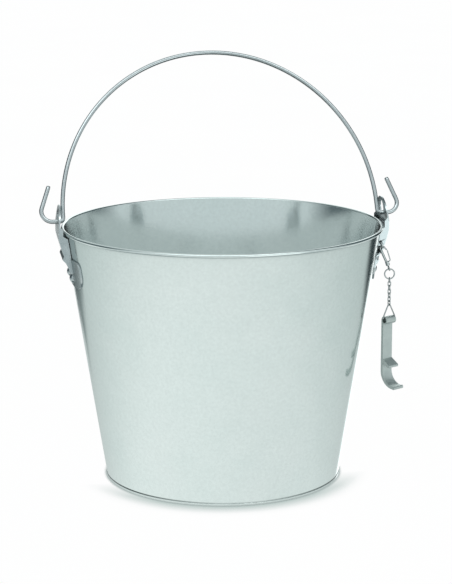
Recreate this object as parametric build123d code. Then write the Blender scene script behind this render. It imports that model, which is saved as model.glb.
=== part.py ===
from build123d import *
from math import atan2, cos, degrees, radians, sin, sqrt, tan
import os

# An ice bucket: a tapered sheet-metal pail with a swinging wire bail, and a bottle opener
# that hangs on a clasp and chain from one ear.
# Millimetres. +Z is up, the origin is the centre of the foot, and +X runs along the bail's
# hinge axis towards the ear that carries the opener. -Y is the front.

# ---- Pail ----
PAIL_HEIGHT = 191.0
WALL_TOP_R = 118.2        # outside of the wall, carried up to the rim's height
WALL_FOOT_R = 88.1        # outside of the wall at the foot
SHEET = 0.6
SEAT_GAP = 0.02           # between pieces that are seated on each other
BEAD_R = 1.25             # outside radius of the rolled rim
BEAD_CURL = 300.0         # degrees that the rim is rolled through
PAN_RISE = 3.0            # height of the floor above the foot
HEM_HEIGHT = 1.8
HEM_THICKNESS = 0.35
HEM_ROUND = 0.15

# ---- Ears ----
EAR_SHEET = 1.1
EAR_WIDTH = 36.0          # the neck and the eye plate
EAR_DOME_Z = 190.5        # centre of the round top
EYE_Z = 200.2             # centre of the hole that the bail hooks through
EYE_R = 5.8
WING_WIDTH = 70.0         # the base plate that lies on the wall
WING_LOW = 150.0
WING_HIGH = 171.0
WING_ROUND = 12.0         # lower corners
WING_SHOULDER = 4.0       # upper corners
NECK_START_Z = 160.6      # where the neck begins to leave the wall
NECK_SHOULDER = ((117.6, 168.3), (119.9, 170.7), (118.8, 173.1))
NECK_RISE = ((120.9, 180.0), (122.4, 186.0), (122.5, 192.5))
NECK_TOP = (120.9, 209.0)
NOTCH_DEPTH = 4.2         # relief cut into one side of the neck, for the jump ring
NOTCH_LOW = 163.5
WEB_LOW = 174.1           # foot of the side flange above the notch
WEB_HIGH = 186.0          # where the flanges' back edge leaves the wall to pass the rim
WEB_PASS = ((119.7, 187.8), (119.7, 192.5), (122.3, 195.3))
WEB_GAP = 0.275           # between the flanges' back edge and the wall
WEB_HOLE_X = 116.6
WEB_HOLE_Z = 177.0
WEB_HOLE_R = 1.2

# ---- Rivets ----
RIVET_Z = 156.0
RIVET_SPREAD = 25.2       # between the two rivets of an ear
RIVET_SHANK_R = 2.0
RIVET_HEAD_R = 3.8
RIVET_HEAD_H = 2.2
RIVET_TAIL_R = 3.4
RIVET_TAIL_H = 1.2
DRILL_LENGTH = 8.0        # of the tool that cuts the rivet holes

# ---- Bail ----
BAIL_WIRE_R = 1.6
BAIL_RUN_GAP = 0.05
BAIL_LEAN = 29.0          # degrees back from upright, at rest
ARCH_HALF_WIDTH = 118.2
ARCH_RISE = 126.5
ARCH_FOOT = 6.0           # from the hinge axis up to where the arch begins
HOOK_BEND_R = 3.0         # bend from the leg into the eye
HOOK_R = 8.0              # open hook outside the eye
HOOK_CENTRE_X = 125.9
HOOK_LEAN = 19.0          # degrees that the hook's free arm leans in
HOOK_ARM = 18.0
BAIL_TIP_ROUND = 0.5

# ---- Tether: jump ring, clasp, ring, chain and triangle ----
LINK_GAP = 0.06           # play between two hooked wires
TETHER_LEAN = 18.6        # degrees that the jump ring and clasp lean outwards, at rest
JUMP_R = 2.5
JUMP_WIRE_R = 0.45
CLAW_WIRE_R = 0.55
CLAW_BEND_R = 1.7
CLAW_NOSE = (2.55, -3.35)
SPINE_R = 0.9
SPINE_TOP = (-1.4, -2.9)
SPINE_FOOT = (-0.35, -12.8)
BOSS_R = 1.5
BOSS_TOP = -12.1
BOSS_FOOT = -15.4
BOSS_CHAMFER = 0.2
GATE_PIVOT = (0.9, -13.1)
GATE_WIRE_R = 0.4
GATE_BARREL_R = 0.75
GATE_ROOM = 0.1           # round the barrel
GATE_TOP = (2.95, -4.5)
GATE_KNEE = (2.9, -12.0)
GATE_PIN_R = 0.4
STUD_HEAD_R = 1.1
STUD_NECK_R = 0.65
STUD_TOP = -14.1
STUD_HEAD_H = 0.65
SWIVEL_EYE_R = 1.6
SWIVEL_WIRE_R = 0.5
CLASP_LENGTH = 19.4       # from the claw's hooked wire to the swivel eye's lowest wire
RING_R = 3.75
RING_WIRE_R = 0.5
RING_SPLIT = 0.15         # width of the ring's joint
SPLIT_BEARING = 40.0      # degrees below the horizontal
LINK_COUNT = 7
LINK_WIRE_R = 0.4
LINK_HALF_LENGTH = 1.9    # wire centre line
LINK_HALF_WIDTH = 1.05
TRIANGLE_WIRE_R = 0.5
TRIANGLE_LEG_LEAN = 29.0  # degrees from upright
TRIANGLE_CORNER_R = 0.7
TRIANGLE_APEX_R = 1.1

# ---- Opener ----
OPENER_TURN = 31.0        # degrees from +X to the direction that the section is extruded in
OPENER_WIDTH = 9.6
TUBE_R = 3.0
TUBE_HOLE_R = 2.0
TUBE_CENTRE_Z = 117.0
SHANK = 2.0
SHANK_LENGTH = 39.2       # from the tube's centre to where the hook begins
CAP_HOOK_R = 12.5
CAP_HOOK_SWEEP = 95.0
CAP_HOOK_TIP_R = 1.3
LIP_ROOT = -30.8          # below the tube's centre
LIP_REACH = 6.9
LIP_DROP = 4.1
LIP_THICKNESS = 2.3


def wall_r(z):
    """Outside radius of the pail's wall at a height."""
    return WALL_FOOT_R + (WALL_TOP_R - WALL_FOOT_R) * z / PAIL_HEIGHT


def wall_band(inner, outer, low, high):
    """Section of a band that follows the wall, between two distances from its outside."""
    corners = [(wall_r(low) + inner, low), (wall_r(low) + outer, low)]
    corners += [(wall_r(high) + outer, high), (wall_r(high) + inner, high)]
    return make_face(Polyline(*corners, close=True))


def spin(section):
    """A solid of revolution about the pail's axis."""
    return revolve(Plane.XZ * section, Axis.Z)


def slot_bar(start, end, thickness):
    """A flat bar with round ends between two points of a sketch."""
    middle = ((start[0] + end[0]) / 2, (start[1] + end[1]) / 2)
    return SlotCenterPoint(middle, end, thickness)


def wire_piece(path, radius):
    """Round wire along a path."""
    return sweep((path ^ 0) * Circle(radius), path=path)


def ring(radius, wire_radius, split=0.0):
    """A wire ring standing in the XZ plane, with its joint at its lower right."""
    body = Rot(90, 0, 0) * Torus(radius, wire_radius)
    if split:
        cut = Box(2 * radius, 2 * radius, split)
        body -= Rot(0, SPLIT_BEARING, 0) * Pos(radius, 0, 0) * cut
    return body


# ---- Pail ----

def pail_wall():
    """The tapered wall with its rim rolled outwards, and holes for the rivets."""
    bead_z = PAIL_HEIGHT - BEAD_R
    centre = (wall_r(bead_z) - SHEET + BEAD_R, bead_z)
    curl_end = 180 - BEAD_CURL
    outer = CenterArc(centre, BEAD_R, 180, -BEAD_CURL)
    inner = CenterArc(centre, BEAD_R - SHEET, 180, -BEAD_CURL)
    start_cap = Line(outer @ 0, inner @ 0)
    end_cap = Line(outer @ 1, inner @ 1)
    curl = make_face([outer, inner, start_cap, end_cap])
    section = wall_band(-SHEET, 0, SHEET + SEAT_GAP, bead_z) + curl
    return spin(section) - rivet_holes()


def base_pan():
    """The recessed floor, whose edge is folded round the foot of the wall."""
    inside = -SHEET - SEAT_GAP
    rim_r = wall_r(0) + SEAT_GAP + HEM_THICKNESS
    inner_r = wall_r(0) + inside - SHEET
    floor_r = wall_r(PAN_RISE) + inside
    floor = Pos(floor_r / 2, PAN_RISE + SHEET / 2) * Rectangle(floor_r, SHEET)
    step = wall_band(inside - SHEET, inside, 0, PAN_RISE + SHEET)
    foot = Pos((inner_r + rim_r) / 2, SHEET / 2) * Rectangle(rim_r - inner_r, SHEET)
    lip = wall_band(SEAT_GAP, SEAT_GAP + HEM_THICKNESS, 0, HEM_HEIGHT)
    section = floor + step + foot + lip
    outer_corners = section.vertices().sort_by(Axis.X)[-2:]
    return spin(fillet(outer_corners, HEM_ROUND))


# ---- Ears and rivets ----

def rivet_planes():
    """A plane on the wall's outside at each rivet, facing outwards."""
    radius = wall_r(RIVET_Z)
    slope = (WALL_TOP_R - WALL_FOOT_R) / PAIL_HEIGHT
    turn = degrees(atan2(RIVET_SPREAD / 2, radius))
    planes = []
    for bearing in (turn, -turn, 180 + turn, 180 - turn):
        across = Vector(cos(radians(bearing)), sin(radians(bearing)), 0)
        outward = across - Vector(0, 0, slope)
        planes.append(Plane(across * radius + Vector(0, 0, RIVET_Z), z_dir=outward))
    return planes


def rivet_holes():
    """Clearance holes for the rivets through the wall and the ears."""
    drill = Cylinder(RIVET_SHANK_R + SEAT_GAP, DRILL_LENGTH)
    return [plane * drill for plane in rivet_planes()]


def dome(radius, height):
    """A shallow dome standing on the XY plane."""
    ball_r = (radius**2 + height**2) / (2 * height)
    ball = Pos(0, 0, height - ball_r) * Sphere(ball_r)
    return ball & Pos(0, 0, height / 2) * Cylinder(2 * radius, height)


def rivet():
    """A domed rivet on its plane: head outside the ear, tail inside the wall."""
    head_base = EAR_SHEET + 2 * SEAT_GAP
    tail_top = -SHEET - 2 * SEAT_GAP
    length = head_base - tail_top
    shank = Pos(0, 0, (head_base + tail_top) / 2) * Cylinder(RIVET_SHANK_R, length)
    head = Pos(0, 0, head_base) * dome(RIVET_HEAD_R, RIVET_HEAD_H)
    tail = Pos(0, 0, tail_top) * Rot(180, 0, 0) * dome(RIVET_TAIL_R, RIVET_TAIL_H)
    return shank + head + tail


def ear_rivets():
    """The four rivets that hold the ears."""
    shape = rivet()
    return Compound(children=[plane * shape for plane in rivet_planes()])


def neck_foot():
    """Middle of the neck's sheet where it leaves the wall, as radius and height."""
    return (wall_r(NECK_START_Z) + SEAT_GAP + EAR_SHEET / 2, NECK_START_Z)


def ear_neck():
    """The raised neck and eye plate: one bent strip, cut to a round-topped outline."""
    points = [neck_foot(), *NECK_SHOULDER, *NECK_RISE, NECK_TOP]
    strip = Sketch()
    for here, there in zip(points, points[1:]):
        strip += slot_bar(here, there, EAR_SHEET)
    bent = extrude(Plane.XZ * strip, amount=EAR_WIDTH / 2, both=True)
    straight = EAR_DOME_Z - WING_LOW
    outline = Pos(0, WING_LOW + straight / 2) * Rectangle(EAR_WIDTH, straight)
    outline += Pos(0, EAR_DOME_Z) * Circle(EAR_WIDTH / 2)
    outline -= Pos(0, EYE_Z) * Circle(EYE_R)
    notch_height = WEB_LOW - NOTCH_LOW
    notch = RectangleRounded(2 * NOTCH_DEPTH, notch_height, NOTCH_DEPTH / 2)
    outline -= Pos(-EAR_WIDTH / 2, NOTCH_LOW + notch_height / 2) * notch
    return bent & extrude(Plane.YZ * outline, amount=2 * WALL_TOP_R)


def web_back(height):
    """Point on a flange's back edge, just clear of the wall."""
    inner_y = EAR_WIDTH / 2 - EAR_SHEET
    return (sqrt(wall_r(height) ** 2 - inner_y**2) + WEB_GAP, height)


def ear_webs():
    """The flanges folded back from the neck; the one above the notch has a small hole."""
    top = (*NECK_RISE, *reversed(WEB_PASS), web_back(WEB_HIGH))
    front = (NECK_SHOULDER[-1][0], WEB_LOW)
    holed = make_face(Polyline(web_back(WEB_LOW), front, *top, close=True))
    holed -= Pos(WEB_HOLE_X, WEB_HOLE_Z) * Circle(WEB_HOLE_R)
    foot = (web_back(NECK_START_Z), neck_foot())
    plain = make_face(Polyline(*foot, *NECK_SHOULDER, *top, close=True))
    offset_y = EAR_WIDTH / 2 - EAR_SHEET / 2
    webs = Pos(0, -offset_y, 0) * extrude(Plane.XZ * holed, amount=EAR_SHEET / 2, both=True)
    return webs + Pos(0, offset_y, 0) * extrude(Plane.XZ * plain, amount=EAR_SHEET / 2, both=True)


def ear_wings():
    """The base plate that lies on the wall either side of the neck and under it."""
    band = wall_band(SEAT_GAP, SEAT_GAP + EAR_SHEET, WING_LOW - EAR_SHEET, WING_HIGH + EAR_SHEET)
    height = WING_HIGH - WING_LOW
    outline = Pos(0, WING_LOW + height / 2) * Rectangle(WING_WIDTH, height)
    outline = fillet(outline.vertices().sort_by(Axis.Y)[:2], WING_ROUND)
    outline = fillet(outline.vertices().sort_by(Axis.Y)[-2:], WING_SHOULDER)
    open_low = NECK_START_Z + 2 * EAR_SHEET
    open_height = WING_HIGH - open_low + EAR_SHEET
    open_width = EAR_WIDTH - 2 * EAR_SHEET
    outline -= Pos(0, open_low + open_height / 2) * Rectangle(open_width, open_height)
    return spin(band) & extrude(Plane.YZ * outline, amount=2 * WALL_TOP_R)


def ear_right():
    """The ear on the +X side; the same stamping, turned half round, is the -X ear."""
    return ear_wings() + ear_neck() + ear_webs() - rivet_holes()


# ---- Bail ----

def bail_pivot_z():
    """Height of the bail's hinge axis: the wire rests in the foot of the eye."""
    return EYE_Z - EYE_R + BAIL_WIRE_R + BAIL_RUN_GAP


def bail():
    """The wire bail: an arch, two legs, and an open hook through each ear's eye."""
    lean = radians(HOOK_LEAN)
    arm_start = (HOOK_CENTRE_X + HOOK_R * cos(lean), HOOK_R * (1 + sin(lean)))
    tip = (arm_start[0] - HOOK_ARM * sin(lean), arm_start[1] + HOOK_ARM * cos(lean))
    bend_x = ARCH_HALF_WIDTH + HOOK_BEND_R
    hook = [
        Line(tip, arm_start),
        CenterArc((HOOK_CENTRE_X, HOOK_R), HOOK_R, HOOK_LEAN, -90 - HOOK_LEAN),
        Line((HOOK_CENTRE_X, 0), (bend_x, 0)),
        CenterArc((bend_x, HOOK_BEND_R), HOOK_BEND_R, -90, -90),
        Line((ARCH_HALF_WIDTH, HOOK_BEND_R), (ARCH_HALF_WIDTH, ARCH_FOOT)),
    ]
    arch = EllipticalCenterArc((0, ARCH_FOOT), ARCH_HALF_WIDTH, ARCH_RISE, 0, arc_size=180)
    far_hook = [mirror(curve, Plane.YZ) for curve in hook]
    edges = [curve.edge() for curve in (*hook, arch, *far_hook)]
    back = radians(BAIL_LEAN)
    tilt = Plane((0, 0, bail_pivot_z()), x_dir=(1, 0, 0), z_dir=(0, -cos(back), sin(back)))
    path = Wire(edges)
    shape = wire_piece(tilt * path, BAIL_WIRE_R)
    ends = shape.faces().filter_by(GeomType.PLANE).edges()
    return fillet(ends, BAIL_TIP_ROUND)


# ---- Tether ----

def lean_down(distance):
    """A step along the leaning jump ring and clasp."""
    lean = radians(TETHER_LEAN)
    return Vector(sin(lean), 0, -cos(lean)) * distance


def web_hole():
    """Centre of the hole in the front flange of the +X ear."""
    return Vector(WEB_HOLE_X, -(EAR_WIDTH - EAR_SHEET) / 2, WEB_HOLE_Z)


def jump_ring_foot():
    """Wire centre at the lowest point of the jump ring."""
    return web_hole() + lean_down(2 * JUMP_R)


def clasp_hook():
    """Wire centre at the top of the claw, hooked over the jump ring's lowest wire."""
    return jump_ring_foot() - lean_down(JUMP_WIRE_R + CLAW_WIRE_R + LINK_GAP)


def swivel_foot():
    """Wire centre at the lowest point of the swivel's eye."""
    return clasp_hook() + lean_down(CLASP_LENGTH)


def ring_centre():
    """Centre of the ring that joins the clasp to the chain."""
    play = SWIVEL_WIRE_R + RING_WIRE_R + LINK_GAP
    return swivel_foot() + Vector(0, 0, play - RING_R)


def link_centre(number):
    """Centre of a chain link, counted from 0 at the ring."""
    first_play = RING_WIRE_R + LINK_WIRE_R + LINK_GAP
    pitch = 2 * LINK_HALF_LENGTH - 2 * LINK_WIRE_R - LINK_GAP
    first = ring_centre() + Vector(0, 0, first_play - RING_R - LINK_HALF_LENGTH)
    return first - Vector(0, 0, number * pitch)


def triangle_top():
    """Wire centre at the apex of the triangle, hooked in the last link."""
    play = LINK_WIRE_R + TRIANGLE_WIRE_R + LINK_GAP
    return link_centre(LINK_COUNT - 1) + Vector(0, 0, play - LINK_HALF_LENGTH)


def opener_pivot():
    """Wire centre of the triangle's base, which rests in the top of the opener's tube."""
    height = TUBE_CENTRE_Z + TUBE_HOLE_R - TRIANGLE_WIRE_R - LINK_GAP
    top = triangle_top()
    return Vector(top.X, top.Y, height)


def at_clasp(shape):
    """Puts a shape drawn hanging from the origin onto the leaning clasp."""
    return Pos(*clasp_hook()) * Rot(0, -TETHER_LEAN, 0) * shape


def in_xz(edge):
    """Stands a sketch edge up in the XZ plane."""
    return Plane.XZ * edge


def jump_ring():
    """The small ring through the ear's flange."""
    upright = Rot(0, 0, 90) * ring(JUMP_R, JUMP_WIRE_R)
    centre = web_hole() + lean_down(JUMP_R)
    return Pos(*centre) * Rot(0, -TETHER_LEAN, 0) * upright


def clasp_body():
    """The clasp's frame: claw, spine, and the boss that holds the gate and the swivel."""
    bend = CenterArc((0, -CLAW_BEND_R), CLAW_BEND_R, 0, 180)
    nose = Line(CLAW_NOSE, (CLAW_BEND_R, -CLAW_BEND_R))
    shoulder = Line((-CLAW_BEND_R, -CLAW_BEND_R), SPINE_TOP)
    claw = Part()
    for edge in (nose, bend, shoulder):
        claw += wire_piece(in_xz(edge), CLAW_WIRE_R)
    joints = [(CLAW_BEND_R, -CLAW_BEND_R), (-CLAW_BEND_R, -CLAW_BEND_R), CLAW_NOSE]
    for x, z in joints:
        claw += Pos(x, 0, z) * Sphere(CLAW_WIRE_R)
    spine = wire_piece(in_xz(Line(SPINE_TOP, SPINE_FOOT)), SPINE_R)
    spine += Pos(SPINE_TOP[0], 0, SPINE_TOP[1]) * Sphere(SPINE_R)
    boss_length = BOSS_TOP - BOSS_FOOT
    boss = Pos(0, 0, (BOSS_TOP + BOSS_FOOT) / 2) * Cylinder(BOSS_R, boss_length)
    boss = chamfer(boss.edges().filter_by(GeomType.CIRCLE), BOSS_CHAMFER)
    return at_clasp(claw + spine + boss - clasp_cavities())


def clasp_cavities():
    """Slot for the gate, hole for its pin, and the swivel's chamber and bore."""
    x, z = GATE_PIVOT
    room = GATE_BARREL_R + GATE_ROOM
    slot_top = BOSS_TOP + room
    slot = Pos(x + BOSS_R / 2, 0, (slot_top + z - room) / 2)
    slot *= Box(2 * room + BOSS_R, 2 * (GATE_WIRE_R + LINK_GAP), slot_top - z + room)
    pin = Pos(x, 0, z) * Rot(90, 0, 0) * Cylinder(GATE_PIN_R + SEAT_GAP, 4 * BOSS_R)
    chamber_z = STUD_TOP - STUD_HEAD_H / 2
    chamber = Pos(0, 0, chamber_z) * Cylinder(STUD_HEAD_R + LINK_GAP, STUD_HEAD_H + 2 * LINK_GAP)
    bore_top = STUD_TOP - STUD_HEAD_H
    bore = Pos(0, 0, (bore_top + BOSS_FOOT) / 2 - BOSS_R / 2)
    bore *= Cylinder(STUD_NECK_R + LINK_GAP, bore_top - BOSS_FOOT + BOSS_R)
    return [slot, pin, chamber, bore]


def clasp_pin():
    """The pin that the gate turns on."""
    x, z = GATE_PIVOT
    half_length = sqrt(BOSS_R**2 - x**2)
    return at_clasp(Pos(x, 0, z) * Rot(90, 0, 0) * Cylinder(GATE_PIN_R, 2 * half_length))


def clasp_gate():
    """The sprung gate that closes the claw."""
    x, z = GATE_PIVOT
    lower = in_xz(Line((x, z), GATE_KNEE))
    upper = in_xz(Line(GATE_KNEE, GATE_TOP))
    gate = wire_piece(lower, GATE_WIRE_R) + wire_piece(upper, GATE_WIRE_R)
    for knee in (GATE_KNEE, GATE_TOP):
        gate += Pos(knee[0], 0, knee[1]) * Sphere(GATE_WIRE_R)
    barrel = Pos(x, 0, z) * Rot(90, 0, 0) * Cylinder(GATE_BARREL_R, 2 * GATE_WIRE_R)
    hole = Pos(x, 0, z) * Rot(90, 0, 0) * Cylinder(GATE_PIN_R + LINK_GAP / 2, 4 * BOSS_R)
    return at_clasp(gate + barrel - hole)


def clasp_swivel():
    """The swivel: a headed stud in the boss, with an eye below it."""
    head = Pos(0, 0, STUD_TOP - STUD_HEAD_H / 2) * Cylinder(STUD_HEAD_R, STUD_HEAD_H)
    eye_centre = SWIVEL_EYE_R - CLASP_LENGTH
    neck_foot = eye_centre + SWIVEL_EYE_R
    neck = Pos(0, 0, (STUD_TOP + neck_foot) / 2) * Cylinder(STUD_NECK_R, STUD_TOP - neck_foot)
    eye = Pos(0, 0, eye_centre) * Rot(0, 0, 90) * ring(SWIVEL_EYE_R, SWIVEL_WIRE_R)
    return at_clasp(head + neck + eye)


def tether_ring():
    """The ring that joins the swivel to the chain."""
    return Pos(*ring_centre()) * ring(RING_R, RING_WIRE_R, RING_SPLIT)


def chain_link(number):
    """One oval link, a quarter turn from the last; the chain also twists to meet the opener."""
    slot = SlotOverall(2 * LINK_HALF_LENGTH, 2 * LINK_HALF_WIDTH, rotation=90)
    loop = Plane.XZ * slot.wire()
    turn = 90 * ((number + 1) % 2) + OPENER_TURN * (number + 1) / LINK_COUNT
    return Pos(*link_centre(number)) * Rot(0, 0, turn) * wire_piece(loop, LINK_WIRE_R)


def triangle_link():
    """The wire triangle that carries the opener."""
    height = triangle_top().Z - opener_pivot().Z
    lean = radians(TRIANGLE_LEG_LEAN)
    apex_lift = TRIANGLE_APEX_R * (1 / sin(lean) - 1)
    half = (height + apex_lift) * tan(lean)
    corners = [(0, apex_lift), (half, -height), (-half, -height)]
    outline = make_face(Polyline(*corners, close=True))
    outline = fillet(outline.vertices().sort_by(Axis.Y)[-1], TRIANGLE_APEX_R)
    outline = fillet(outline.vertices().sort_by(Axis.Y)[:2], TRIANGLE_CORNER_R)
    loop = Plane.XZ * outline.wire()
    return Pos(*triangle_top()) * Rot(0, 0, OPENER_TURN) * wire_piece(loop, TRIANGLE_WIRE_R)


def opener():
    """The bottle opener: an extruded section with a tube, a lip and a cap hook."""
    back = -TUBE_R
    section = Circle(TUBE_R)
    section += Pos(back + SHANK / 2, -SHANK_LENGTH / 2) * Rectangle(SHANK, SHANK_LENGTH)
    centre = (back + CAP_HOOK_R, -SHANK_LENGTH)
    outer = CenterArc(centre, CAP_HOOK_R, 180, CAP_HOOK_SWEEP)
    inner = CenterArc(centre, CAP_HOOK_R - SHANK, 180, CAP_HOOK_SWEEP)
    section += make_face([outer, inner, Line(outer @ 0, inner @ 0), Line(outer @ 1, inner @ 1)])
    tip = (outer @ 1 + inner @ 1) / 2
    section += Pos(tip.X, tip.Y) * Circle(CAP_HOOK_TIP_R)
    root = (back + SHANK / 2, LIP_ROOT)
    section += slot_bar(root, (root[0] + LIP_REACH, LIP_ROOT - LIP_DROP), LIP_THICKNESS)
    section -= Circle(TUBE_HOLE_R)
    turn = radians(OPENER_TURN)
    pivot = opener_pivot()
    origin = (pivot.X, pivot.Y, TUBE_CENTRE_Z)
    facing = Plane(origin, x_dir=(sin(turn), -cos(turn), 0), z_dir=(-cos(turn), -sin(turn), 0))
    return extrude(facing * section, amount=OPENER_WIDTH / 2, both=True)


def pieces():
    """Every piece of the bucket, by node name."""
    right = ear_right()
    shapes = {
        "pail_wall": pail_wall(),
        "base_pan": base_pan(),
        "ear_right": right,
        "ear_left": Rot(0, 0, 180) * right,
        "ear_rivets": ear_rivets(),
        "bail": bail(),
        "jump_ring": jump_ring(),
        "clasp_body": clasp_body(),
        "clasp_pin": clasp_pin(),
        "clasp_gate": clasp_gate(),
        "clasp_swivel": clasp_swivel(),
        "tether_ring": tether_ring(),
        "triangle_link": triangle_link(),
        "opener": opener(),
    }
    for number in range(LINK_COUNT):
        shapes[f"chain_link_{number + 1}"] = chain_link(number)
    return shapes


os.makedirs("parts", exist_ok=True)
for node, shape in pieces().items():
    export_step(shape, f"parts/{node}.step")
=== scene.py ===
from math import cos, pi, radians, sin

import bmesh
import bpy
from mathutils import Matrix, Vector

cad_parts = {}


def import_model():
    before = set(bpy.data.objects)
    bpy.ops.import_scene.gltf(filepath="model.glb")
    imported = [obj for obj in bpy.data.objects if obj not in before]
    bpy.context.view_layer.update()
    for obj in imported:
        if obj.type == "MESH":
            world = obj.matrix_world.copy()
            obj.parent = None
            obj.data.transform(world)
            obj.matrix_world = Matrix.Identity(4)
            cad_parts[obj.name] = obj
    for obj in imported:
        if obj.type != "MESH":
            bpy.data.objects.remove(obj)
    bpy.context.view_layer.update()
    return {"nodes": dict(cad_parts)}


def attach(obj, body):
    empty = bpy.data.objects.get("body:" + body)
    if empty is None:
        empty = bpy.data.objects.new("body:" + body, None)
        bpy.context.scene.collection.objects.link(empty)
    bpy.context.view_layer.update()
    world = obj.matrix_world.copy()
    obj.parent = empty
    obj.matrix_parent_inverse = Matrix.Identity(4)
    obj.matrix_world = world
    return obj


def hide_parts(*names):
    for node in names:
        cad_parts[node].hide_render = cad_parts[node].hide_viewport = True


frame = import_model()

# The looks of an ice bucket: satin sheet-metal pail, zinc-plated ears and bail, and a bottle
# opener on a nickel-plated clasp and chain. Metres and degrees, in the frame of the CAD model.
# Colours are linear red, green and blue.

MM = 0.001


# ---------------------------------------------------------------- node helpers

def new_material(name):
    """An empty node material, and its tree."""
    material = bpy.data.materials.new(name)
    material.use_nodes = True
    tree = material.node_tree
    tree.nodes.clear()
    return material, tree


def node(tree, kind, inputs=None, **settings):
    """Adds a node, sets its properties, and links or sets its inputs."""
    made = tree.nodes.new(kind)
    for key, value in settings.items():
        setattr(made, key, value)
    for key, value in (inputs or {}).items():
        if isinstance(value, bpy.types.NodeSocket):
            tree.links.new(value, made.inputs[key])
        else:
            made.inputs[key].default_value = value
    return made


def math_node(tree, operation, *values):
    """A math node's output."""
    return node(tree, "ShaderNodeMath", dict(enumerate(values)), operation=operation).outputs[0]


def times(tree, first, second):
    """The product of two values."""
    return math_node(tree, "MULTIPLY", first, second)


def plus(tree, first, second):
    """The sum of two values."""
    return math_node(tree, "ADD", first, second)


def remap(tree, value, old, new):
    """A value carried from one range to another, and held there."""
    made = node(tree, "ShaderNodeMapRange",
                {"Value": value, "From Min": old[0], "From Max": old[1],
                 "To Min": new[0], "To Max": new[1]}, clamp=True)
    return made.outputs["Result"]


def ramp(tree, value, start, end, top=1.0):
    """0 up to the start, rising to the top at the end and held there. The end may lie below the start."""
    return remap(tree, value, (start, end), (0.0, top))


def band(tree, value, low, high, soft):
    """1 between two values, with soft ends."""
    rise = ramp(tree, value, low - soft, low + soft)
    fall = ramp(tree, value, high + soft, high - soft)
    return times(tree, rise, fall)


def tint(tree, fac, first, second):
    """A colour between two others."""
    made = node(tree, "ShaderNodeMix", {"Factor": fac}, data_type="RGBA")
    for socket, colour in ((made.inputs[6], first), (made.inputs[7], second)):
        if isinstance(colour, bpy.types.NodeSocket):
            tree.links.new(colour, socket)
        else:
            socket.default_value = (*colour, 1.0)
    return made.outputs[2]


def layered(tree, base, *layers):
    """A colour with others laid over it, each given as a mask and a colour."""
    for mask, colour in layers:
        base = tint(tree, mask, base, colour)
    return base


def object_position(tree):
    """Position in the object's own frame, in metres."""
    return node(tree, "ShaderNodeTexCoord").outputs["Object"]


def axes_of(tree, vector):
    """The X, Y and Z of a vector."""
    return node(tree, "ShaderNodeSeparateXYZ", {0: vector}).outputs


def stretched(tree, vector, scale):
    """A position scaled differently along each axis, for grain."""
    return node(tree, "ShaderNodeVectorMath", {0: vector, 1: scale}, operation="MULTIPLY").outputs[0]


def wrapped(tree, vector, radius):
    """A position unrolled round the Z axis: along the arc, and up."""
    x, y, z = axes_of(tree, vector)
    arc = times(tree, math_node(tree, "ARCTAN2", y, x), radius)
    return node(tree, "ShaderNodeCombineXYZ", {0: arc, 1: z}).outputs[0]


def noise(tree, vector, scale, detail, roughness=0.55):
    """Noise between 0 and 1, at a scale in cycles per metre."""
    made = node(tree, "ShaderNodeTexNoise",
                {"Vector": vector, "Scale": scale, "Detail": detail, "Roughness": roughness})
    return made.outputs["Fac"]


def spread(tree, value, low, high):
    """Noise carried from the range that holds nearly all of it to another."""
    return remap(tree, value, (0.3, 0.7), (low, high))


def bump(tree, height, distance, normal=None):
    """A bump whose height input of 1 stands for a distance in metres, over another if one is given."""
    inputs = {"Height": height, "Distance": distance}
    if normal is not None:
        inputs["Normal"] = normal
    return node(tree, "ShaderNodeBump", inputs).outputs[0]


def openness(tree, distance):
    """1 in the open, falling to 0 in a crevice."""
    return node(tree, "ShaderNodeAmbientOcclusion", {"Distance": distance}, samples=8).outputs["AO"]


def edge_wear(tree, radius, top):
    """0 on faces, rising to the top along edges."""
    rounded = node(tree, "ShaderNodeBevel", {"Radius": radius}, samples=4).outputs[0]
    flat = node(tree, "ShaderNodeNewGeometry").outputs["Normal"]
    likeness = node(tree, "ShaderNodeVectorMath", {0: rounded, 1: flat}, operation="DOT_PRODUCT")
    return ramp(tree, likeness.outputs["Value"], 1.0, 0.9, top)


def metal(tree, colour, roughness, normal):
    """A metal surface, joined to the material's output."""
    shader = node(tree, "ShaderNodeBsdfPrincipled",
                  {"Base Color": colour, "Metallic": 1.0, "Roughness": roughness, "Normal": normal})
    node(tree, "ShaderNodeOutputMaterial", {"Surface": shader.outputs[0]})


# ---------------------------------------------------------------- materials

UNROLLING_R = 100 * MM
# Heights of the painted shade line in the crease above the hem.
HEM_SHADE_FOOT = 1.9 * MM
HEM_SHADE_TOP = 2.7 * MM
OPENER_TURN = 31


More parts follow.
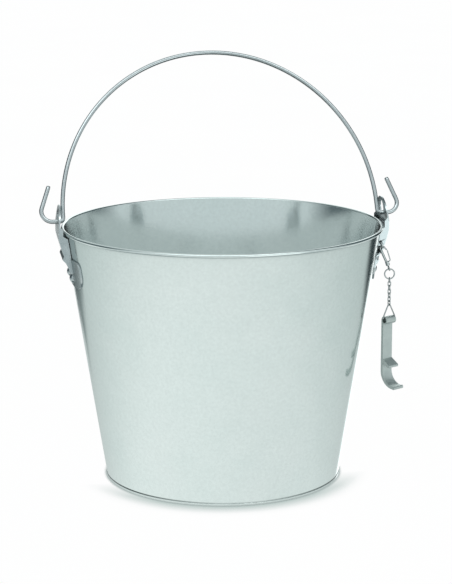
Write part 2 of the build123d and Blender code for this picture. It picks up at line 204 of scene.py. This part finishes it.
def satin_sheet():
    """Satin galvanised sheet: mottling, fine grain round the pail, a few scuffs, painted shade in crevices,
    beside the ears and in the crease above the hem, and a plain painted colour where it is seen in
    reflections.
    """
    material, tree = new_material("satin_sheet")
    place = object_position(tree)
    across, _, height = axes_of(tree, place)
    unrolled = wrapped(tree, place, UNROLLING_R)
    patches = noise(tree, place, scale=11.0, detail=2.0)
    mottle = noise(tree, place, scale=45.0, detail=5.0)
    spangle = noise(tree, place, scale=420.0, detail=3.0)
    speckle = noise(tree, place, scale=1900.0, detail=2.0)
    grain = noise(tree, stretched(tree, unrolled, (1.0, 6.0, 1.0)), scale=900.0, detail=3.0)
    scuffs = noise(tree, stretched(tree, unrolled, (5.0, 1.0, 1.0)), scale=60.0, detail=6.0, roughness=0.7)
    scuffed = ramp(tree, scuffs, 0.62, 0.78)

    base = tint(tree, spread(tree, mottle, 0.0, 1.0), (0.70, 0.79, 0.775), (0.74, 0.825, 0.81))
    base = layered(
        tree, base,
        (ramp(tree, patches, 0.35, 0.65, top=0.35), (0.75, 0.81, 0.80)),
        (times(tree, scuffed, 0.12), (0.5, 0.58, 0.58)),
        (ramp(tree, speckle, 0.25, 0.75, top=0.10), (0.52, 0.60, 0.60)))
    base = node(tree, "ShaderNodeVectorMath", {0: base, "Scale": spread(tree, spangle, 0.968, 1.032)},
                operation="SCALE").outputs[0]

    # painted shade: the wall darkened where the ears and other parts within 12 mm hide it, only above 60 mm
    # up
    shade_beside_ears = times(tree, ramp(tree, openness(tree, 12 * MM), 0.92, 0.5, top=0.7),
                        ramp(tree, height, 60 * MM, 120 * MM))
    # painted shade: a near-black line in the crease just above the hem, strongest at the sides
    shade_above_hem = times(tree, band(tree, height, HEM_SHADE_FOOT, HEM_SHADE_TOP, 0.15 * MM),
                      remap(tree, math_node(tree, "ABSOLUTE", across), (15 * MM, 75 * MM), (0.18, 1.0)))
    # painted reflection: where the sheet is seen in a reflection, it is drawn in a plain lighter colour
    glossy_depth = node(tree, "ShaderNodeLightPath").outputs["Glossy Depth"]
    base = layered(
        tree, base,
        # painted shade: darker in crevices and folds, where other surfaces lie within 3 mm
        (ramp(tree, openness(tree, 3 * MM), 0.8, 0.3, top=0.6), (0.15, 0.18, 0.18)),
        (shade_beside_ears, (0.20, 0.24, 0.24)),
        (shade_above_hem, (0.03, 0.045, 0.045)),
        (math_node(tree, "GREATER_THAN", glossy_depth, 0.5), (0.80, 0.83, 0.83)))

    rough = plus(tree, spread(tree, mottle, 0.10, 0.14), spread(tree, grain, -0.02, 0.03))
    rough = plus(tree, rough, times(tree, scuffed, 0.08))
    normal = bump(tree, patches, 0.35 * MM)
    normal = bump(tree, grain, 0.004 * MM, normal)
    normal = bump(tree, speckle, 0.002 * MM, normal)
    metal(tree, base, rough, normal)
    return material


def zinc_plate():
    """Bright zinc-plated stampings: cloudy plating, fine scratches, polished edges, painted shade in hollows.
    """
    material, tree = new_material("zinc_plate")
    place = object_position(tree)
    cloud = noise(tree, place, scale=120.0, detail=5.0)
    scratch = noise(tree, stretched(tree, place, (1.0, 14.0, 1.0)), scale=260.0, detail=4.0, roughness=0.7)
    base = tint(tree, spread(tree, cloud, 0.0, 1.0), (0.42, 0.48, 0.49), (0.50, 0.56, 0.57))
    base = layered(
        tree, base,
        # painted shade: darker where other surfaces lie within 4 mm
        (ramp(tree, openness(tree, 4 * MM), 0.85, 0.25, top=0.5), (0.13, 0.16, 0.17)),
        (edge_wear(tree, 0.5 * MM, top=0.6), (0.80, 0.86, 0.86)))
    rough = plus(tree, spread(tree, cloud, 0.15, 0.22), ramp(tree, scratch, 0.60, 0.72, top=0.08))
    normal = bump(tree, cloud, 0.006 * MM)
    normal = bump(tree, scratch, 0.002 * MM, normal)
    metal(tree, base, rough, normal)
    return material


def drawn_wire():
    """Zinc-plated drawn wire: lengthwise die lines, slight dulling, painted shade on its underside."""
    material, tree = new_material("drawn_wire")
    along = node(tree, "ShaderNodeUVMap", uv_map="wire").outputs[0]
    lines = noise(tree, stretched(tree, along, (3.0, 40.0, 1.0)), scale=1.0, detail=3.0)
    cloud = noise(tree, object_position(tree), scale=90.0, detail=5.0)
    facing_up = axes_of(tree, node(tree, "ShaderNodeTexCoord").outputs["Normal"])[2]
    base = tint(tree, spread(tree, cloud, 0.0, 1.0), (0.46, 0.51, 0.52), (0.54, 0.59, 0.60))
    base = layered(
        tree, base,
        (ramp(tree, lines, 0.55, 0.75, top=0.3), (0.36, 0.40, 0.41)),
        # painted shade: darker where the wire faces down
        (ramp(tree, facing_up, -0.25, -0.75, top=0.8), (0.07, 0.09, 0.095)))
    normal = bump(tree, lines, 0.003 * MM)
    normal = bump(tree, cloud, 0.006 * MM, normal)
    metal(tree, base, spread(tree, cloud, 0.16, 0.22), normal)
    return material


def nickel_plate():
    """Nickel-plated small fittings, with painted shade where the links touch and hide each other."""
    material, tree = new_material("nickel_plate")
    cloud = noise(tree, object_position(tree), scale=500.0, detail=4.0)
    base = tint(tree, spread(tree, cloud, 0.0, 1.0), (0.36, 0.40, 0.40), (0.48, 0.52, 0.52))
    # painted shade: near black where other parts lie within 1.5 mm
    painted_link_shade = ramp(tree, openness(tree, 1.5 * MM), 0.8, 0.2, top=0.85)
    base = tint(tree, painted_link_shade, base, (0.03, 0.04, 0.04))
    metal(tree, base, spread(tree, cloud, 0.12, 0.20), bump(tree, cloud, 0.004 * MM))
    return material


def matt_aluminium():
    """Matt anodised extrusion: die lines along the section's length, brighter cut edges, painted shade in
    hollows.
    """
    material, tree = new_material("matt_aluminium")
    place = object_position(tree)
    square = node(tree, "ShaderNodeVectorRotate", {"Vector": place, "Angle": radians(-OPENER_TURN)},
                  rotation_type="Z_AXIS").outputs[0]
    lines = noise(tree, stretched(tree, square, (0.04, 1.0, 1.0)), scale=1500.0, detail=3.0)
    cloud = noise(tree, place, scale=160.0, detail=4.0)
    grit = noise(tree, place, scale=2600.0, detail=2.0)
    base = tint(tree, spread(tree, cloud, 0.0, 1.0), (0.58, 0.65, 0.63), (0.65, 0.72, 0.70))
    base = layered(
        tree, base,
        (ramp(tree, lines, 0.5, 0.75, top=0.22), (0.50, 0.56, 0.55)),
        # painted shade: darker where other surfaces lie within 5 mm
        (ramp(tree, openness(tree, 5 * MM), 0.8, 0.2, top=0.5), (0.2, 0.24, 0.24)),
        (edge_wear(tree, 0.35 * MM, top=0.5), (0.78, 0.83, 0.81)))
    normal = bump(tree, lines, 0.008 * MM)
    normal = bump(tree, grit, 0.003 * MM, normal)
    metal(tree, base, spread(tree, grit, 0.36, 0.48), normal)
    return material


# ---------------------------------------------------------------- CAD nodes kept as they are

WELD_DISTANCE = 0.002 * MM
SHARP_ANGLE = 40
FLAT_FACE_WEIGHT = 100


def finish_node(name, material, edge=0.0):
    """Gives a CAD node its material and, if an edge width is given, rounds its sharp edges."""
    piece = frame["nodes"][name]
    piece.data.materials.clear()
    piece.data.materials.append(material)
    if edge:
        weld = piece.modifiers.new("weld", "WELD")
        weld.merge_threshold = WELD_DISTANCE
        bevel = piece.modifiers.new("edges", "BEVEL")
        bevel.width = edge
        bevel.segments = 2
        bevel.limit_method = "ANGLE"
        bevel.angle_limit = radians(SHARP_ANGLE)
        even = piece.modifiers.new("even", "WEIGHTED_NORMAL")
        even.weight = FLAT_FACE_WEIGHT


# ---------------------------------------------------------------- bail

# The CAD bail's dimensions. Its path lies in a plane: across the pail, and up from the pivot.
HOOK_R = 8.0 * MM
HOOK_LEAN = 19.0
HOOK_ARM = 18.0 * MM
HOOK_CENTRE_X = 125.9 * MM
EYE_BEND_R = 3.0 * MM
ARCH_HALF_WIDTH = 118.2 * MM
ARCH_RISE = 126.5 * MM
ARCH_FOOT = 6.0 * MM
BAIL_WIRE_R = 1.6 * MM
BAIL_PIVOT_Z = 196.05 * MM
BAIL_LEAN = 29.0

# The tube made along it. A tip's steps are its distance in from the end and its size, in wire radii.
TUBE_SIDES = 28
TIP_STEPS = ((0.0, 0.72), (0.08, 0.9))
UV_PER_METRE = 10


def arc(centre, radii, start, end, count):
    """Points of an elliptical arc, both ends included."""
    turns = [radians(start + (end - start) * i / count) for i in range(count + 1)]
    return [Vector((centre[0] + radii[0] * cos(t), centre[1] + radii[1] * sin(t))) for t in turns]


def straight(start, end, count):
    """Points between two ends, leaving both out."""
    return [Vector(start).lerp(Vector(end), i / count) for i in range(1, count)]


def bail_path():
    """The bail's wire from tip to tip, in its own plane."""
    hook = arc((HOOK_CENTRE_X, HOOK_R), (HOOK_R, HOOK_R), HOOK_LEAN, -90, count=40)
    lean = radians(HOOK_LEAN)
    tip = hook[0] + Vector((-sin(lean), cos(lean))) * HOOK_ARM
    arm = [tip] + straight(tip, hook[0], count=12)
    bend_x = ARCH_HALF_WIDTH + EYE_BEND_R
    run = straight(hook[-1], (bend_x, 0), count=4)
    bend = arc((bend_x, EYE_BEND_R), (EYE_BEND_R, EYE_BEND_R), -90, -180, count=16)
    leg = straight(bend[-1], (ARCH_HALF_WIDTH, ARCH_FOOT), count=3)
    half = arm + hook + run + bend + leg
    arch = arc((0, ARCH_FOOT), (ARCH_HALF_WIDTH, ARCH_RISE), 0, 180, count=240)
    return half + arch + [Vector((-p[0], p[1])) for p in reversed(half)]


def tube_rings(points, radius):
    """Centre, tangent and radius of each ring of a wire along points, with slightly rounded tips."""
    last = len(points) - 1
    tangents = [(points[min(i + 1, last)] - points[max(i - 1, 0)]).normalized() for i in range(last + 1)]
    first_tip = [(points[0] + tangents[0] * inset * radius, tangents[0], size * radius)
                 for inset, size in TIP_STEPS]
    middle = [(point, tangent, radius) for point, tangent in zip(points[1:-1], tangents[1:-1])]
    last_tip = [(points[-1] - tangents[-1] * inset * radius, tangents[-1], size * radius)
                for inset, size in reversed(TIP_STEPS)]
    return first_tip + middle + last_tip


def tube(name, points, radius):
    """A round wire along points, capped at both ends, with a UV map that runs along and round it."""
    mesh = bpy.data.meshes.new(name)
    made = bpy.data.objects.new(name, mesh)
    bpy.context.scene.collection.objects.link(made)
    work = bmesh.new()
    wire_uv = work.loops.layers.uv.new("wire")
    rings = tube_rings(points, radius)
    turns = [2 * pi * k / TUBE_SIDES for k in range(TUBE_SIDES)]
    side = rings[0][1].orthogonal().normalized()
    loops, travelled, length = [], [], 0.0
    for index, (centre, tangent, ring_radius) in enumerate(rings):
        side = (side - tangent * side.dot(tangent)).normalized()
        other = tangent.cross(side)
        if index:
            length += (centre - rings[index - 1][0]).length
        travelled.append(length)
        loops.append([work.verts.new(centre + (side * cos(t) + other * sin(t)) * ring_radius) for t in turns])
    for i in range(len(loops) - 1):
        for k in range(TUBE_SIDES):
            after = (k + 1) % TUBE_SIDES
            face = work.faces.new((loops[i][k], loops[i][after], loops[i + 1][after], loops[i + 1][k]))
            face.smooth = True
            corners = ((i, k), (i, k + 1), (i + 1, k + 1), (i + 1, k))
            for loop, (row, column) in zip(face.loops, corners):
                loop[wire_uv].uv = (travelled[row] * UV_PER_METRE, column / TUBE_SIDES)
    work.faces.new(reversed(loops[0]))
    work.faces.new(loops[-1])
    bmesh.ops.recalc_face_normals(work, faces=work.faces)
    work.to_mesh(mesh)
    work.free()
    return made


def bail(material):
    """The wire bail, leaning back at rest."""
    lean = radians(BAIL_LEAN)
    points = [Vector((p[0], p[1] * sin(lean), BAIL_PIVOT_Z + p[1] * cos(lean))) for p in bail_path()]
    made = tube("bail_wire", points, BAIL_WIRE_R)
    made.data.materials.append(material)
    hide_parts("bail")
    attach(made, "bail")


# ---------------------------------------------------------------- floor

FLOOR_SIZE = 30.0
FLOOR_WHITES = (0.985, 0.99, 0.99), (1.0, 1.0, 1.0)
SHADOW = (0.50, 0.59, 0.57)
CONTACT_SHADOW = (0.40, 0.47, 0.46)


def floor():
    """A plain white floor with a soft shadow thrown forwards; metals mirror the studio instead of it."""
    bpy.ops.mesh.primitive_plane_add(size=FLOOR_SIZE)
    plane = bpy.context.object
    plane.name = "floor"
    plane.visible_glossy = False
    material, tree = new_material("floor")
    place = object_position(tree)
    white = tint(tree, noise(tree, place, scale=3.0, detail=4.0), *FLOOR_WHITES)
    behind = ramp(tree, axes_of(tree, place)[1], -70 * MM, -20 * MM)
    lit = math_node(tree, "MAXIMUM", ramp(tree, openness(tree, 24 * MM), 0.5, 0.9), behind)
    colour = tint(tree, lit, SHADOW, white)
    colour = tint(tree, ramp(tree, openness(tree, 5 * MM), 0.5, 0.75), CONTACT_SHADOW, colour)
    seen = node(tree, "ShaderNodeEmission", {"Color": colour, "Strength": 1.0})
    unseen = node(tree, "ShaderNodeBsdfDiffuse", {"Color": white})
    camera_ray = node(tree, "ShaderNodeLightPath").outputs["Is Camera Ray"]
    mix = node(tree, "ShaderNodeMixShader", {0: camera_ray, 1: unseen.outputs[0], 2: seen.outputs[0]})
    node(tree, "ShaderNodeOutputMaterial", {"Surface": mix.outputs[0]})
    plane.data.materials.append(material)


# ---------------------------------------------------------------- studio

# The studio that metal mirrors is drawn by direction. Up is the sine of the height above the
# horizon. A bearing is 0 at the front, 90 at the ear with the opener and 180 behind.
TABLE_EDGE = (-0.29, -0.265)
TABLE_NEAR, TABLE_FAR = (0.98, 1.0, 0.99), (0.54, 0.60, 0.59)
TABLE_RIGHT = (0.45, 0.50, 0.50)
TABLE_SHADED = (0.26, 0.31, 0.32)
SKY_LOW, SKY_HIGH = (0.62, 0.67, 0.68), (0.80, 0.85, 0.86)
SKY_BEHIND = (0.62, 0.67, 0.67)
BLACKOUT = (0.09, 0.12, 0.13)
SOFTBOX = (2.6, 2.7, 2.7)
PATCH_SOFT_UP = 0.012

# Flats and cards low round the pail, each over the one before: bearings, ups, softness, colour.
FLATS_AND_CARDS = (
    ((-166.0, -148.0), (-0.30, 0.3), 2.0, (0.22, 0.26, 0.26)),
    ((-150.0, -146.5), (-0.30, 0.3), 1.0, (0.03, 0.045, 0.05)),
    ((-172.0, -148.0), (-0.265, 0.42), 2.0, (0.05, 0.065, 0.07)),
    ((129.5, 147.0), (-0.291, 0.42), 1.5, (0.025, 0.038, 0.042)),
    ((149.0, 176.0), (-0.40, 0.5), 3.0, (1.35, 1.4, 1.4)),
    ((9.0, 50.0), (-0.36, 0.0), 2.0, (1.7, 1.78, 1.78)),
)

AMBIENT = (0.85, 0.87, 0.87)
SECOND_REFLECTION = (0.62, 0.66, 0.66)
BACKDROP = (1.0, 1.0, 1.0, 1.0)


def patch(tree, bearing, up, bearings, ups, soft=2.0):
    """1 inside a patch of the studio between two bearings and two ups."""
    return times(tree, band(tree, bearing, *bearings, soft), band(tree, up, *ups, PATCH_SOFT_UP))


def mirrored_table(tree, right, front, up):
    """A white table that dims with distance, to the right, and in the pail's shade."""
    shade = times(tree, ramp(tree, up, -0.60, -0.72), ramp(tree, front, 0.34, 0.22))
    return layered(
        tree, tint(tree, ramp(tree, up, -0.50, -0.27), TABLE_NEAR, TABLE_FAR),
        (ramp(tree, right, -0.9, 0.9, top=0.22), TABLE_RIGHT),
        (shade, TABLE_SHADED))


def mirrored_room(tree, right, front, up, bearing):
    """A grey room, blacked out at both sides behind and over the right, with a softbox high in front."""
    sides = ramp(tree, math_node(tree, "ABSOLUTE", right), 0.45, 0.72)
    behind = tint(tree, times(tree, ramp(tree, up, -0.17, -0.09), sides), SKY_BEHIND, BLACKOUT)
    return layered(
        tree, tint(tree, ramp(tree, up, -0.1, 0.5), SKY_LOW, SKY_HIGH),
        (ramp(tree, front, 0.25, -0.15), behind),
        (patch(tree, bearing, up, (95.0, 165.0), (0.60, 0.97)), BLACKOUT),
        (times(tree, band(tree, up, 0.82, 0.94, 0.02), ramp(tree, front, 0.0, 0.2)), SOFTBOX))


def mirrored_studio(tree):
    """What metal mirrors: the table and the room, with flats and cards standing in them."""
    right, back, up = axes_of(tree, node(tree, "ShaderNodeTexCoord").outputs["Generated"])
    front = times(tree, back, -1.0)
    bearing = math_node(tree, "DEGREES", math_node(tree, "ARCTAN2", right, front))
    table = mirrored_table(tree, right, front, up)
    room = mirrored_room(tree, right, front, up, bearing)
    return layered(
        tree, tint(tree, ramp(tree, up, *TABLE_EDGE), table, room),
        *((patch(tree, bearing, up, bearings, ups, soft), colour)
          for bearings, ups, soft, colour in FLATS_AND_CARDS))


def world():
    """A white studio whose reflections are drawn apart from its light; second reflections are plain."""
    made = bpy.data.worlds.new("studio")
    bpy.context.scene.world = made
    made.use_nodes = True
    tree = made.node_tree
    tree.nodes.clear()
    path = node(tree, "ShaderNodeLightPath").outputs
    deep = math_node(tree, "GREATER_THAN", path["Glossy Depth"], 1.5)
    mirrored = tint(tree, deep, mirrored_studio(tree), SECOND_REFLECTION)
    colour = tint(tree, path["Is Glossy Ray"], AMBIENT, mirrored)
    light = node(tree, "ShaderNodeBackground", {"Color": colour, "Strength": 1.0}).outputs[0]
    backdrop = node(tree, "ShaderNodeBackground", {"Color": BACKDROP, "Strength": 1.0}).outputs[0]
    mix = node(tree, "ShaderNodeMixShader", {0: path["Is Camera Ray"], 1: light, 2: backdrop})
    node(tree, "ShaderNodeOutputWorld", {"Surface": mix.outputs[0]})


# ---------------------------------------------------------------- lamps, camera

LAMP_AIM_Z = 120 * MM
LAMP_DISTANCE = 1.6

# The viewpoint of the photograph: in front, a little to the left, and above the rim. The lens
# and the sensor are in millimetres.
LENS = 121.15
SENSOR_WIDTH = 36.0
CAMERA_DISTANCE = 1.4401
CAMERA_HEIGHT = 0.4539
CAMERA_BEARING = -8.7
CAMERA_PITCH = 12.34
CAMERA_YAW = 0.106
CAMERA_ROLL = -0.1
CLIP_START = 0.05


def lamp(name, bearing, elevation, width, height, power):
    """A soft lamp aimed a little above the middle of the pail, and not mirrored in it."""
    data = bpy.data.lights.new(name, "AREA")
    data.shape = "RECTANGLE"
    data.size = width
    data.size_y = height
    data.energy = power
    made = bpy.data.objects.new(name, data)
    bpy.context.scene.collection.objects.link(made)
    turn, rise = radians(bearing), radians(elevation)
    outwards = Vector((sin(turn) * cos(rise), -cos(turn) * cos(rise), sin(rise)))
    made.location = Vector((0, 0, LAMP_AIM_Z)) + outwards * LAMP_DISTANCE
    made.rotation_euler = (-outwards).to_track_quat("-Z", "Y").to_euler()
    made.visible_glossy = False


def camera():
    """The scene's camera."""
    data = bpy.data.cameras.new("camera")
    data.sensor_width = SENSOR_WIDTH
    data.lens = LENS
    data.clip_start = CLIP_START
    made = bpy.data.objects.new("camera", data)
    bpy.context.scene.collection.objects.link(made)
    bearing = radians(CAMERA_BEARING)
    made.location = (sin(bearing) * CAMERA_DISTANCE, -cos(bearing) * CAMERA_DISTANCE, CAMERA_HEIGHT)
    pitch, turn = radians(CAMERA_PITCH), radians(CAMERA_YAW) - bearing
    forward = Vector((sin(turn) * cos(pitch), cos(turn) * cos(pitch), -sin(pitch)))
    roll = Matrix.Rotation(radians(CAMERA_ROLL), 3, "Z").to_quaternion()
    made.rotation_mode = "QUATERNION"
    made.rotation_quaternion = forward.to_track_quat("-Z", "Y") @ roll
    bpy.context.scene.camera = made


# ---------------------------------------------------------------- the scene

SHEET_METAL = satin_sheet()
ZINC = zinc_plate()
WIRE = drawn_wire()
NICKEL = nickel_plate()
ALUMINIUM = matt_aluminium()

for name in ("pail_wall", "base_pan"):
    finish_node(name, SHEET_METAL)
for name in ("ear_right", "ear_left"):
    finish_node(name, ZINC, edge=0.25 * MM)
finish_node("ear_rivets", ZINC)
bail(WIRE)
finish_node("opener", ALUMINIUM, edge=0.3 * MM)
for name in frame["nodes"]:
    if name.startswith(("chain", "clasp", "jump", "tether", "triangle")):
        finish_node(name, NICKEL)

floor()
world()
lamp("key", bearing=-35, elevation=45, width=1.2, height=1.2, power=9.0)
lamp("fill", bearing=60, elevation=30, width=0.9, height=1.2, power=5.0)
camera()
bpy.context.scene.view_settings.view_transform = "Standard"
